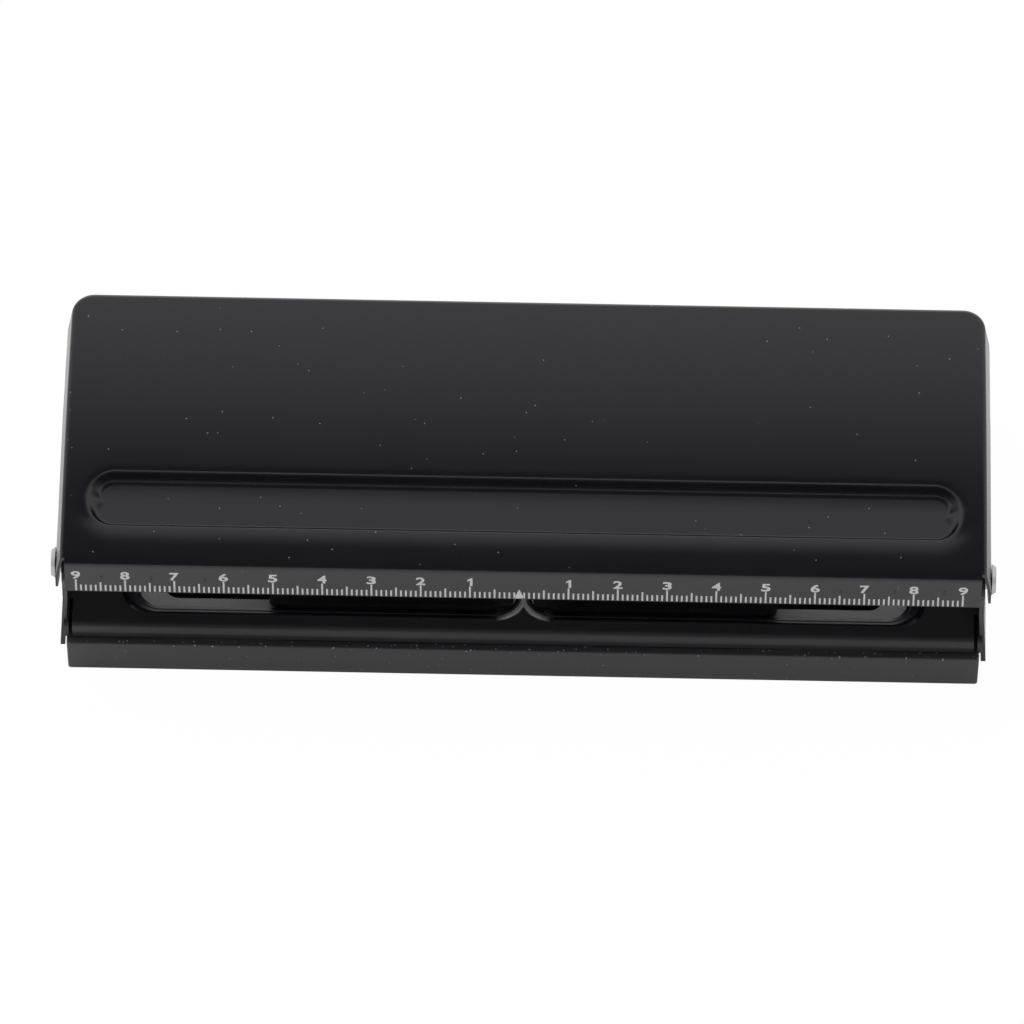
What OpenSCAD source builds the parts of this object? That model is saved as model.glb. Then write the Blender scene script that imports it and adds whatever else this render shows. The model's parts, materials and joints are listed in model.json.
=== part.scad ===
// Adjustable six-hole desk punch.
// X runs along the paper edge, Y from the paper side to the back, Z up.
// The origin is under the middle of the chip tray, on the table.

/* [Body] */
// Depth of the chip tray from front to back
body_depth = 67; // [66:1:70]
// Height of the chip tray
tray_h = 9.3; // [8:0.1:9.5]
// Height of the bed that the paper lies on
bed_z = 14; // [13.5:0.1:14.2]
// Thickness of the pressed sheet steel
sheet = 1; // [0.8:0.1:1]

/* [Lever] */
// Outside width of the lever over its side flanges
lever_w = 190; // [189:1:194]
// Distance from the front flange to the rear edge
lever_run = 58.4; // [54:0.2:60]
// How much higher the rear edge is than the front edge
lever_rise = 12.2; // [11:0.2:13]
// Height of the crown over a straight line from front to rear
lever_crown = 3; // [2:0.5:4]
// Height of the front flange that carries the scale
flange_h = 10.1; // [9.5:0.1:10.5]
// Height of the front flange's lower edge
flange_z = 28.2; // [27.6:0.1:28.6]
// Distance of the pivot behind the tray's front face
pivot_inset = 6; // [5.5:0.1:6.5]
// Height of the pivot
pivot_z = 30; // [29.4:0.1:30.2]
// Length of the pressed recess in the lever's top
recess_l = 178; // [160:1:180]
// Width of that recess
recess_w = 14; // [12:0.1:14]
// Depth of that recess at its middle
recess_d = 1.75; // [1.6:0.05:2]
// How steeply its floor drops to the rear, against the lever's top
recess_tilt = 13; // [8:1:13]

/* [Punching] */
// Diameter of a punched hole
hole_d = 5.5; // [5:0.1:6]
// Distance between neighbouring holes
hole_pitch = 19; // [18:0.5:19.5]
// Length of a carrier along X
carrier_l = 47; // [46:0.5:47]
// Distance of the hole centres behind the tray's front face
punch_inset = 25.5; // [24.5:0.5:26]
// Height of the paper throat in a carrier
throat_h = 4.6; // [4.4:0.1:5]
// Diameter of the spring wire
wire_d = 0.5; // [0.4:0.05:0.6]
// Turns in a punch spring
spring_turns = 6; // [5:1:7]

/* [Hidden] */
$fn = 64;
half_depth = body_depth / 2;
steel = [0.72, 0.73, 0.75];
enamel = [0.035, 0.035, 0.04];
casting = [0.05, 0.05, 0.055];
plastic = [0.07, 0.07, 0.075];
play = 0.2;
over = 1;

// Base
bed_front = 1.5 - half_depth;
bed_under = bed_z - sheet;
wall_out = lever_w / 2 - sheet - play;
wall_in = wall_out - sheet;
wall_front = 2.5 - half_depth;
wall_low = 5;
wall_flare = 1.2;
flare_z = 22;
ear_r = 4.2;
ear_rear_y = 15;
ear_foot_y = 20;
rod_ear_h = 4.5;
notch_x = wall_in - 0.7;
notch_y = 8.5 - half_depth;
skirt_low = tray_h + 0.3;
edge_r = 1;
tray_half_w = wall_in + 0.5;
tray_wall = 1.8;
tray_corner_r = 1;

// Windows in the bed, one on each side of the middle
window_x0 = 1.3;
window_x1 = 78.6;
window_y0 = 6.3 - half_depth;
window_y1 = 9;
window_r = 4.5;
lip_in = 0.7;
lip_out = 1.6;
lip_h = 0.3;

// Die rail under the windows
rail_t = 1.6;
rail_half_l = window_x1 + 1;
rail_y0 = window_y0 - 2;
rail_y1 = window_y1 + 5;
rail_slot_x0 = 6;
rail_slot_x1 = window_x1 - 5.1;
rail_slot_y0 = window_y0 + 2.8;
rail_slot_y1 = -2;
rail_slot_r = 3;
rivet_r = 1;
rivet_xs = [25, 70];
rivet_y = rail_y1 - 1.6;
rivet_head_r = 1.7;
rivet_head_top_r = 1.2;
rivet_head_h = 0.6;

// Lever: its top follows a circle through the front and rear edges
pivot_y = pivot_inset - half_depth;
lever_front = 0.3 - half_depth;
lever_rear = lever_front + lever_run;
front_top = flange_z + flange_h;
rear_top = front_top + lever_rise;
chord = norm([lever_run, lever_rise]);
crown_r = chord * chord / (8 * lever_crown) + lever_crown / 2;
crown_y = (lever_front + lever_rear) / 2 + lever_rise / chord * (crown_r - lever_crown);
crown_z = (front_top + rear_top) / 2 - lever_run / chord * (crown_r - lever_crown);
rear_corner_r = 6;
rear_skirt = 9;
nose_drop = 5.5;
nose_l = 8;
slit_w = 0.7;
slit_top = 2.5;
recess_y = lever_front + 12.8;
recess_wall = 1.6;
recess_reach = 10;
skin = 0.2;
pin_r = 2;
pin_gap = 0.05;
pin_head_r = 3.2;
pin_head_top_r = 2.6;
pin_head_t = 0.9;
pin_head_gap = 0.1;
clip_r = 3.4;
clip_t = 0.6;
clip_x = wall_in - clip_t - play;
groove_r = 1.6;
pin_in = clip_x - 1.6;

// Carriers
carrier_x0 = hole_pitch * 1.5 - carrier_l / 2;
carrier_y0 = window_y0 + 0.7;
carrier_corner_r = 2;
jaw_z0 = bed_under + play;
jaw_z1 = jaw_z0 + 1.6;
guide_z0 = jaw_z1 + throat_h;
guide_h = 7.2;
guide_z1 = guide_z0 + guide_h;
punch_y = punch_inset - half_depth;
stop_face_y = punch_y + 5.5;
jaw_y1 = 5.5;
guide_y0 = punch_y - 8;
guide_y1 = 14;
die_half_w = 5;
die_t = 1.2;
die_margin = 1.5;
punch_xs = [for (i = [0:2]) hole_pitch * (i + 0.5)];
chip_hole_r = 3.6;

// Guide rod
rod_r = 3;
rod_y = 9.5;
rod_z = guide_z0 + 3.6;
rod_groove_r = 2.5;
rod_clip_r = 4.4;
rod_bore_gap = 0.3;
bush_r = 4.2;
bush_l = 8;
bush_gap = 0.04;

// Punches and springs
punch_r = hole_d / 2;
punch_gap = 0.05;
punch_tip = guide_z0 + 0.2;
head_r = 4;
head_t = 1.8;
press_rod_drop = 5.2;
head_top = crown_z + sqrt(pow(crown_r - sheet, 2) - pow(punch_y - crown_y, 2)) - press_rod_drop;
tip_hollow_r = 6;
tip_hollow_d = 0.8;
washer_t = 0.5;
spring_r = 3.45;
spring_z0 = guide_z1 + washer_t;
spring_z1 = head_top - head_t;
press_r = 3;
press_gap = 0.1;
press_half_l = 82;

// Screws
block_screw_r = 1.5;
block_screw_head_r = 2.5;
block_screw_top_r = 2;
block_screw_head_h = 1.4;
cross_w = 0.6;
cross_l = 3;
block_screw_y = 2;
block_screw_xs = [for (i = [0:1]) hole_pitch * (i + 1)];
lock_x = hole_pitch * 1.5;
lock_r = 1.5;
lock_gap = 0.05;
lock_knob_r = 4.5;
lock_knob_l = 4;
lock_knob_gap = 0.4;
lock_tip_gap = 0.1;
lock_flutes = 16;
flute_r = 0.7;
flute_out = 0.3;
lock_slot_w = 1;

SIDES = ["left", "right"];

// Shared shapes

// A side outline in Y and Z, extruded along X between two positions
module along_x(x0, x1) {
    translate([x0, 0, 0]) rotate([90, 0, 90]) linear_extrude(x1 - x0) children();
}

// A front outline in X and Z, extruded along Y between two positions
module along_y(y0, y1) {
    translate([0, y1, 0]) rotate([90, 0, 0]) linear_extrude(y1 - y0) children();
}

// A rod along X
module rod_x(r, x0, x1, y, z) {
    translate([x0, y, z]) rotate([0, 90, 0]) cylinder(r = r, h = x1 - x0);
}

// A box between two corners
module block(a, b) {
    translate(a) cube(b - a);
}

// A rectangle with round corners, between two corners
module round_rect(a, b, r) {
    translate(a + [r, 0]) square(b - a - [2 * r, 0]);
    translate(a + [0, r]) square(b - a - [0, 2 * r]);
    for (x = [a[0] + r, b[0] - r])
        for (y = [a[1] + r, b[1] - r]) translate([x, y]) circle(r);
}

// A long oval centred on the origin
module oval(l, w) {
    square([l - w, w], center = true);
    for (s = [-1, 1]) translate([s * (l - w) / 2, 0]) circle(w / 2);
}

// The same piece on both sides of the middle
module both_sides() {
    children();
    mirror([1, 0, 0]) children();
}

// A piece drawn on the right, moved to the named side
module on_side(side) {
    if (side == "left") mirror([1, 0, 0]) children();
    else children();
}

// Base

module window(grow) {
    round_rect([window_x0 - grow, window_y0 - grow], [window_x1 + grow, window_y1 + grow],
        window_r + grow);
}

// A low ring pressed up round a window, set back from its edge
module window_lip() {
    translate([0, 0, bed_under]) linear_extrude(sheet + lip_h) difference() {
        window(lip_out);
        window(lip_in);
    }
}

module bed_section() {
    difference() {
        round_rect([bed_front, skirt_low - 2 * edge_r], [-bed_front, bed_z], edge_r);
        translate([bed_front + sheet, 0]) square([-2 * (bed_front + sheet), bed_under]);
        translate([bed_front - over, 0]) square([-2 * (bed_front - over), skirt_low]);
    }
}

module side_wall_outline() {
    polygon([[wall_front, wall_low], [-wall_front, wall_low], [-wall_front, bed_z], [ear_foot_y, bed_z],
        [ear_rear_y, rod_z + rod_ear_h], [pivot_y + ear_r, pivot_z + ear_r / 2], [pivot_y, pivot_z],
        [wall_front, pivot_z]]);
    translate([pivot_y, pivot_z]) circle(ear_r);
}

// Section of a side wall: upright inside the lever, flared below it to clear the chip tray
module side_wall_section() {
    top = pivot_z + 2 * ear_r;
    polygon([[wall_in, top], [wall_in, flare_z], [wall_in + wall_flare, 0], [wall_out + wall_flare, 0],
        [wall_out, flare_z], [wall_out, top]]);
}

module side_wall() {
    intersection() {
        along_x(wall_in, wall_out + wall_flare) side_wall_outline();
        along_y(-half_depth, half_depth) side_wall_section();
    }
}

module base_pan() {
    color(enamel) difference() {
        union() {
            along_x(-wall_out, wall_out) bed_section();
            both_sides() side_wall();
            both_sides() window_lip();
        }
        both_sides() translate([0, 0, bed_under - over]) linear_extrude(sheet + 3 * over) window(0);
        both_sides() block([notch_x, -half_depth, 0], [wall_in, notch_y, bed_z + over]);
        rod_x(pin_r, -wall_out - over, wall_out + over, pivot_y, pivot_z);
        rod_x(rod_r, -wall_out - over, wall_out + over, rod_y, rod_z);
        for (x = rivet_xs)
            both_sides() translate([x, rivet_y, 0]) cylinder(r = rivet_r, h = bed_z + over);
    }
}

module die_rail() {
    color(steel) translate([0, 0, bed_under - rail_t]) difference() {
        linear_extrude(rail_t) difference() {
            translate([-rail_half_l, rail_y0]) square([2 * rail_half_l, rail_y1 - rail_y0]);
            both_sides() round_rect([rail_slot_x0, rail_slot_y0], [rail_slot_x1, rail_slot_y1],
                rail_slot_r);
        }
        for (x = rivet_xs)
            both_sides() translate([x, rivet_y, -over]) cylinder(r = rivet_r, h = rail_t + 2 * over);
    }
}

module rail_rivets() {
    color(steel) for (x = rivet_xs) both_sides() translate([x, rivet_y, bed_under - rail_t]) {
        cylinder(r = rivet_r, h = rail_t + sheet);
        translate([0, 0, rail_t + sheet])
            cylinder(r1 = rivet_head_r, r2 = rivet_head_top_r, h = rivet_head_h);
    }
}

module guide_rod() {
    color(steel) difference() {
        rod_x(rod_r, -wall_out, wall_out, rod_y, rod_z);
        both_sides() difference() {
            rod_x(rod_r + over, clip_x, clip_x + clip_t, rod_y, rod_z);
            rod_x(rod_groove_r, clip_x, clip_x + clip_t, rod_y, rod_z);
        }
    }
}

// Snap ring around a grooved pin, open on its lower side
module snap_ring(hole_r, ring_r, y, z) {
    x0 = clip_x - over;
    x1 = clip_x + clip_t + over;
    mouth = hole_r * 0.7;
    difference() {
        rod_x(ring_r, clip_x, clip_x + clip_t, y, z);
        rod_x(hole_r, x0, x1, y, z);
        block([x0, y - mouth, z - ring_r - over], [x1, y + mouth, z]);
    }
}

module rod_clips() {
    color(steel) both_sides() snap_ring(rod_groove_r, rod_clip_r, rod_y, rod_z);
}

module pivot_pin(side) {
    head_x = lever_w / 2 + pin_head_gap;
    color(steel) on_side(side) {
        difference() {
            rod_x(pin_r, pin_in, head_x, pivot_y, pivot_z);
            difference() {
                rod_x(pin_r + over, clip_x, clip_x + clip_t, pivot_y, pivot_z);
                rod_x(groove_r, clip_x, clip_x + clip_t, pivot_y, pivot_z);
            }
        }
        translate([head_x, pivot_y, pivot_z]) rotate([0, 90, 0])
            cylinder(r1 = pin_head_r, r2 = pin_head_top_r, h = pin_head_t);
    }
}

module pivot_clips() {
    color(steel) both_sides() snap_ring(groove_r, clip_r, pivot_y, pivot_z);
}

// Lever

module lever_plan(inset) {
    r = rear_corner_r - inset;
    half = lever_w / 2 - inset;
    difference() {
        round_rect([-half, lever_front + inset - 3 * r], [half, lever_rear - inset], r);
        translate([-half - over, lever_front + inset - 4 * r]) square([2 * half + 2 * over, 4 * r]);
    }
}

module crown(r) {
    rod_x(r, -lever_w, lever_w, crown_y, crown_z, $fn = 480);
}

module lever_side_outline() {
    low = pivot_z - nose_drop;
    polygon([[lever_front, flange_z], [lever_front + sheet, flange_z], [pivot_y, low],
        [pivot_y + nose_l, low], [lever_rear, rear_top - rear_skirt], [lever_rear, 2 * rear_top],
        [lever_front, 2 * rear_top]]);
}

module lever_shell() {
    difference() {
        intersection() {
            along_x(-lever_w / 2, lever_w / 2) lever_side_outline();
            crown(crown_r);
            linear_extrude(2 * rear_top) lever_plan(0);
        }
        intersection() {
            crown(crown_r - sheet);
            translate([0, 0, -over]) linear_extrude(2 * rear_top) lever_plan(sheet);
        }
    }
}

// The space over the recess floor: an oval prism square to the lever's top, cut off by the tilted floor
module recess_space(shrink, depth) {
    slope = asin((crown_y - recess_y) / crown_r);
    translate([0, crown_y, crown_z]) rotate([slope, 0, 0]) translate([0, 0, crown_r]) intersection() {
        translate([0, 0, -recess_reach]) linear_extrude(2 * recess_reach)
            oval(recess_l - 2 * shrink, recess_w - 2 * shrink);
        translate([0, 0, -depth]) rotate([-recess_tilt, 0, 0])
            translate([-recess_l, -recess_w, 0]) cube([2 * recess_l, 2 * recess_w, 2 * recess_reach]);
    }
}

module lever() {
    color(enamel) difference() {
        union() {
            lever_shell();
            intersection() {
                crown(crown_r - skin);
                recess_space(0, recess_d + sheet);
            }
        }
        recess_space(recess_wall, recess_d);
        rod_x(pin_r + pin_gap, -lever_w, lever_w, pivot_y, pivot_z);
        both_sides() block([lever_w / 2 - sheet - slit_w, lever_front - over, flange_z - over],
            [lever_w / 2 - sheet, lever_front + 2 * sheet, front_top - slit_top]);
    }
}

module press_bar() {
    bar_z = head_top + press_gap + press_r;
    color(steel) intersection() {
        union() {
            rod_x(press_r, -press_half_l, press_half_l, punch_y, bar_z);
            block([-press_half_l, punch_y - press_r, bar_z], [press_half_l, punch_y + press_r, rear_top]);
        }
        crown(crown_r - sheet);
    }
}

// Chip tray

module chip_tray() {
    color(plastic) difference() {
        linear_extrude(tray_h)
            round_rect([-tray_half_w, -half_depth], [tray_half_w, half_depth], tray_corner_r);
        translate([0, 0, tray_wall]) linear_extrude(tray_h)
            round_rect([tray_wall - tray_half_w, tray_wall - half_depth],
                [tray_half_w - tray_wall, half_depth - tray_wall], tray_corner_r);
    }
}

// Carriers, drawn on the right

module carrier_frame() {
    x1 = carrier_x0 + carrier_l;
    color(casting) difference() {
        union() {
            translate([0, 0, jaw_z0]) linear_extrude(jaw_z1 - jaw_z0)
                round_rect([carrier_x0, carrier_y0], [x1, jaw_y1], carrier_corner_r);
            block([carrier_x0, stop_face_y, jaw_z0], [x1, jaw_y1, guide_z0]);
        }
        block([carrier_x0 + die_margin, punch_y - die_half_w, jaw_z1 - die_t],
            [x1 - die_margin, punch_y + die_half_w, jaw_z1 + over]);
        for (x = punch_xs)
            translate([x, punch_y, jaw_z0 - over]) cylinder(r = chip_hole_r, h = jaw_z1);
        for (x = block_screw_xs)
            translate([x, block_screw_y, jaw_z1]) cylinder(r = block_screw_r, h = guide_z1);
    }
}

module die_plate() {
    color(steel) difference() {
        block([carrier_x0 + die_margin, punch_y - die_half_w, jaw_z1 - die_t],
            [carrier_x0 + carrier_l - die_margin, punch_y + die_half_w, jaw_z1]);
        for (x = punch_xs)
            translate([x, punch_y, jaw_z0]) cylinder(r = punch_r + punch_gap, h = jaw_z1);
    }
}

module guide_block() {
    x1 = carrier_x0 + carrier_l;
    color(casting) difference() {
        block([carrier_x0, guide_y0, guide_z0], [x1, guide_y1, guide_z1]);
        for (x = punch_xs) translate([x, punch_y, guide_z0 - over])
            cylinder(r = punch_r + punch_gap, h = guide_h + 2 * over);
        for (x = block_screw_xs) translate([x, block_screw_y, guide_z0 - over])
            cylinder(r = block_screw_r, h = guide_h + 2 * over);
        rod_x(rod_r + rod_bore_gap, carrier_x0 - over, x1 + over, rod_y, rod_z);
        rod_x(bush_r, carrier_x0 - over, carrier_x0 + bush_l, rod_y, rod_z);
        rod_x(bush_r, x1 - bush_l, x1 + over, rod_y, rod_z);
        translate([lock_x, rod_y, rod_z]) rotate([-90, 0, 0]) cylinder(r = lock_r + lock_gap, h = guide_y1);
    }
}

module rod_bushes() {
    color("peru") for (x = [carrier_x0, carrier_x0 + carrier_l - bush_l]) difference() {
        rod_x(bush_r, x, x + bush_l, rod_y, rod_z);
        rod_x(rod_r + bush_gap, x - over, x + bush_l + over, rod_y, rod_z);
    }
}

module block_screws() {
    color(steel) for (x = block_screw_xs) translate([x, block_screw_y, 0]) {
        translate([0, 0, jaw_z1]) cylinder(r = block_screw_r, h = guide_z1 - jaw_z1);
        translate([0, 0, guide_z1]) difference() {
            cylinder(r1 = block_screw_head_r, r2 = block_screw_top_r, h = block_screw_head_h);
            for (a = [0, 90]) rotate(a)
                translate([-cross_l / 2, -cross_w / 2, block_screw_head_h / 2])
                    cube([cross_l, cross_w, over]);
        }
    }
}

module lock_screw() {
    knob_y = guide_y1 + lock_knob_gap;
    tip_y = rod_y + rod_r + lock_tip_gap;
    color(steel) translate([lock_x, 0, rod_z]) rotate([-90, 0, 0]) {
        translate([0, 0, tip_y]) cylinder(r = lock_r, h = knob_y - tip_y);
        translate([0, 0, knob_y]) difference() {
            cylinder(r = lock_knob_r, h = lock_knob_l);
            for (i = [0:lock_flutes - 1]) rotate(i * 360 / lock_flutes)
                translate([lock_knob_r + flute_out, 0, -over])
                    cylinder(r = flute_r, h = lock_knob_l + 2 * over);
            translate([-lock_knob_r, -lock_slot_w / 2, lock_knob_l - lock_slot_w])
                cube([2 * lock_knob_r, lock_slot_w, lock_slot_w + over]);
        }
    }
}

module spring_washers() {
    color(steel) for (x = punch_xs) translate([x, punch_y, guide_z1]) difference() {
        cylinder(r = head_r, h = washer_t);
        translate([0, 0, -over]) cylinder(r = punch_r + play, h = washer_t + 2 * over);
    }
}

// A punch has a flat head and a hollow-ground tip
module punch(x) {
    color(steel) translate([x, punch_y, 0]) difference() {
        union() {
            translate([0, 0, punch_tip]) cylinder(r = punch_r, h = spring_z1 - punch_tip);
            translate([0, 0, spring_z1]) cylinder(r = head_r, h = head_t);
        }
        rod_x(tip_hollow_r, -head_r, head_r, 0, punch_tip + tip_hollow_d - tip_hollow_r);
    }
}

// Springs: one unbroken tube wound on a helix, with short straight ends

steps_a_turn = 8;
spring_steps = steps_a_turn * spring_turns;
wire_sides = 6;
coil_low = spring_z0 + wire_d;
coil_high = spring_z1 - wire_d;
function around(i, z) =
    [spring_r * cos(360 * i / steps_a_turn), spring_r * sin(360 * i / steps_a_turn), z];
coil = [for (i = [0:spring_steps]) around(i, coil_low + (coil_high - coil_low) * i / spring_steps)];
spring_path = concat([around(0, spring_z0)], coil, [around(spring_steps, spring_z1)]);
last_ring = len(spring_path) - 1;

// A ring of points round the wire: its first axis points out from the coil, its second is given
function ring(p, across) = let (out = [p[0], p[1], 0] / spring_r)
    [for (k = [0:wire_sides - 1]) let (a = 360 * k / wire_sides)
        p + wire_d / 2 * (cos(a) * out + sin(a) * across)];
// The straight ends run along Z, so their rings lie flat; the others stand up
function ring_at(j) = let (p = spring_path[j])
    j == 0 || j == last_ring ? ring(p, [p[1], -p[0], 0] / spring_r) : ring(p, [0, 0, 1]);
spring_points = [for (j = [0:last_ring]) for (q = ring_at(j)) q];

// Two triangles between neighbouring rings
function facet_pair(j, k) = let (m = (k + 1) % wire_sides, a = j * wire_sides + k, b = j * wire_sides + m)
    [[a, a + wire_sides, b], [b, a + wire_sides, b + wire_sides]];
spring_faces = concat(
    [for (j = [0:last_ring - 1]) for (k = [0:wire_sides - 1]) for (f = facet_pair(j, k)) f],
    [for (k = [1:wire_sides - 2]) [0, k, k + 1]],
    [for (k = [1:wire_sides - 2]) let (o = last_ring * wire_sides) [o, o + k + 1, o + k]]);

coil_gap = min([for (i = [0:spring_steps - 6])
    for (j = [i + 6:spring_steps]) norm(coil[i] - coil[j])]) - wire_d;
echo(least_gap_between_spring_turns = coil_gap);

module spring(x) {
    color(steel) translate([x, punch_y, 0]) polyhedron(spring_points, spring_faces);
}

base_pan();
die_rail();
rail_rivets();
guide_rod();
rod_clips();
pivot_pin("left");  // left_pivot_pin
pivot_pin("right");  // right_pivot_pin
pivot_clips();
lever();
press_bar();
chip_tray();
for (s = SIDES) {
    on_side(s) carrier_frame();
    on_side(s) die_plate();
    on_side(s) guide_block();
    on_side(s) rod_bushes();
    on_side(s) block_screws();
    on_side(s) lock_screw();
    on_side(s) spring_washers();
    on_side(s) punch(punch_xs[0]);
    on_side(s) punch(punch_xs[1]);
    on_side(s) punch(punch_xs[2]);
    on_side(s) spring(punch_xs[0]);
    on_side(s) spring(punch_xs[1]);
    on_side(s) spring(punch_xs[2]);
}
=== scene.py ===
"""Skins, print and stage for an adjustable six-hole desk punch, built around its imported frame."""

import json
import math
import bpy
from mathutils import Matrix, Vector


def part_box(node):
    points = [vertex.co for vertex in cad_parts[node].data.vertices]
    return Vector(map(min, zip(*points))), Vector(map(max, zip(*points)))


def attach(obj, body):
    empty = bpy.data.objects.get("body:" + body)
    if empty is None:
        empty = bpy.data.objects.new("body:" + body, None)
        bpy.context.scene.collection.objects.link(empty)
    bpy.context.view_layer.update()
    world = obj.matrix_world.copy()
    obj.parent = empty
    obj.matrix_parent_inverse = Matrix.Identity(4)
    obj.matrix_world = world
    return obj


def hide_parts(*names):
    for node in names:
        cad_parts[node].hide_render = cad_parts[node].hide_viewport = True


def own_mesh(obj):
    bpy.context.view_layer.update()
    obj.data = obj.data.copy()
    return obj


bl_info = {
    "name": "Desk punch",
    "version": (1, 0, 0),
    "blender": (4, 5, 0),
    "location": "View3D > Sidebar > Punch",
    "description": "Dresses the frame of an adjustable six-hole desk punch and lights it",
    "category": "Add Mesh",
}

import bmesh
import bpy
import numpy as np
from mathutils import Matrix, Vector

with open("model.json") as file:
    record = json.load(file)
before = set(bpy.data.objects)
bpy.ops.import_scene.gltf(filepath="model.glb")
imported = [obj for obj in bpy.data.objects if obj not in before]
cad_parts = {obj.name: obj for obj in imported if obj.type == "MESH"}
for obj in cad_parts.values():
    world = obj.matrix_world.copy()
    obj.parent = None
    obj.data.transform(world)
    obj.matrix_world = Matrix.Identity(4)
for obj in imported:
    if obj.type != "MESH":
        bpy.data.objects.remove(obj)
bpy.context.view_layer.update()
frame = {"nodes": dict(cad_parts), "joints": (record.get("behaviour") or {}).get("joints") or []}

MM = 0.001
SIDES = ("left", "right")
PLACES = ("inner", "middle", "outer")

# Places that the frame gives
LEVER_LOW, LEVER_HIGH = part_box("lever")
TRAY_LOW, TRAY_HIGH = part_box("chip_tray")
RAIL_LOW, RAIL_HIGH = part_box("die_rail")
JOINTS = {joint["name"]: joint for joint in frame["joints"]}
PIVOT_Y = JOINTS["lever_press"]["pos_m"][1]

SHEET = 1.0 * MM
LEVER_HALF_W = LEVER_HIGH.x
LEVER_FRONT = LEVER_LOW.y
LEVER_REAR = LEVER_HIGH.y
LEVER_MID = (LEVER_FRONT + LEVER_REAR) / 2
REAR_TOP = LEVER_HIGH.z
LEVER_NOSE_Z = LEVER_LOW.z
BED_Z = RAIL_HIGH.z + SHEET


# Settings


def length_setting(name, description, default):
    """A length that a user can change, in metres."""
    return bpy.props.FloatProperty(
        name=name, description=description, default=default, subtype="DISTANCE", unit="LENGTH", precision=4)


def angle_setting(name, description, degrees):
    """An angle that a user can change, given in degrees."""
    return bpy.props.FloatProperty(
        name=name, description=description, default=math.radians(degrees), subtype="ANGLE", unit="ROTATION")


def colour_setting(name, description, default):
    """A colour that a user can change, as shares of red, green and blue."""
    return bpy.props.FloatVectorProperty(
        name=name, description=description, default=default, subtype="COLOR", size=3, min=0, max=1)


class LeverSizes(bpy.types.PropertyGroup):
    """Sizes of the pressed lever."""
    rise: length_setting("Rise", "How much higher the rear edge is than the front edge", 12.2 * MM)
    crown: length_setting("Crown", "Height of the top over a straight line from front to rear", 3.0 * MM)
    flange: length_setting("Flange height", "Height of the front flange that carries the scale", 10.1 * MM)
    rear_skirt: length_setting("Rear skirt", "Height of the rear flange", 9.0 * MM)
    rear_corner: length_setting("Rear corner", "Radius of the top's rear corners in plan", 4.6 * MM)
    front_bend: length_setting("Front bend", "Radius of the bend over the front flange", 1.05 * MM)
    side_bend: length_setting("Side bend", "Radius of the bends over the side and rear flanges", 1.05 * MM)
    side_flare: length_setting("Side flare", "How far the side flanges spread out below the top", 1.0 * MM)
    rear_taper: length_setting("Rear taper", "How much narrower each side is at the rear", 0.8 * MM)
    recess_length: length_setting("Recess length", "Length of the oval pressed into the top", 178.0 * MM)
    recess_width: length_setting("Recess width", "Width of that oval, along the slope", 11.4 * MM)
    recess_depth: length_setting("Recess depth", "Depth of the recess at its middle", 2.6 * MM)
    recess_back: length_setting("Recess place", "Distance of its middle behind the front flange", 13.4 * MM)
    recess_tilt: angle_setting("Recess tilt", "How steeply its floor drops to the rear", 12.0)


class ScaleSizes(bpy.types.PropertyGroup):
    """Sizes of the scale printed on the front flange."""
    reach: bpy.props.IntProperty(
        name="Reach", description="Last centimetre on each side of zero", default=9, min=1, max=9)
    zero: length_setting("Zero", "Place of the scale's zero along the lever", -0.75 * MM)
    short_tick: length_setting("Millimetre tick", "Height of a millimetre tick", 2.1 * MM)
    half_tick: length_setting("Half-centimetre tick", "Height of a half-centimetre tick", 3.1 * MM)
    long_tick: length_setting("Centimetre tick", "Height of a centimetre tick", 4.0 * MM)
    tick_width: length_setting("Tick width", "Width of a tick", 0.36 * MM)
    figure: length_setting("Figure height", "Height of a figure", 2.8 * MM)


class BaseSizes(bpy.types.PropertyGroup):
    """Sizes of the bed, its windows and the chip tray."""
    lip_width: length_setting("Lip width", "Width of the bead round a window", 2.4 * MM)
    lip_height: length_setting("Lip height", "Height of the bead round a window", 0.5 * MM)
    tray_draft: length_setting("Tray draft", "How much the tray narrows from its rim to its foot", 0.1 * MM)
    tray_wall: length_setting("Tray wall", "Thickness of the tray's walls", 1.8 * MM)
    edge: length_setting("Edge radius", "Radius of the broken edges of the base", 0.4 * MM)


class Finishes(bpy.types.PropertyGroup):
    """Colours of the finishes."""
    enamel: colour_setting("Enamel", "Gloss enamel on the lever and the lips", (0.0052, 0.0048, 0.0078))
    satin: colour_setting("Base enamel", "Satin enamel on the base", (0.023, 0.0227, 0.0248))
    plastic: colour_setting("Tray plastic", "Matt plastic of the chip tray", (0.0288, 0.0286, 0.0316))
    casting: colour_setting("Casting", "Satin coat on the carriers", (0.0045, 0.0044, 0.0058))
    steel: colour_setting("Steel", "Bright plated steel", (0.56, 0.565, 0.58))
    rail: colour_setting("Rail", "Dull zinc plate of the die rail", (0.74, 0.74, 0.76))
    bronze: colour_setting("Bronze", "Sintered bronze bushes", (0.45, 0.28, 0.12))
    print: colour_setting("Print", "White print of the scale", (0.58, 0.58, 0.58))
    mark: colour_setting("Marks", "Dark paper marks above the scale", (0.004, 0.004, 0.005))


class StageSettings(bpy.types.PropertyGroup):
    """Floor, light and camera."""
    floor: colour_setting("Floor", "Colour of the floor", (0.9, 0.9, 0.9))
    azimuth: angle_setting("Azimuth", "Camera's turn to the right of the front", 1.07)
    elevation: angle_setting("Elevation", "Camera's angle above the table", 56.09)
    roll: angle_setting("Roll", "Camera's turn about its own line of sight", 0.168)
    distance: length_setting("Distance", "Camera's distance from the object", 2.5)
    lens: bpy.props.FloatProperty(
        name="Lens", description="Focal length on a 36 mm sensor", default=428.7)


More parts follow.
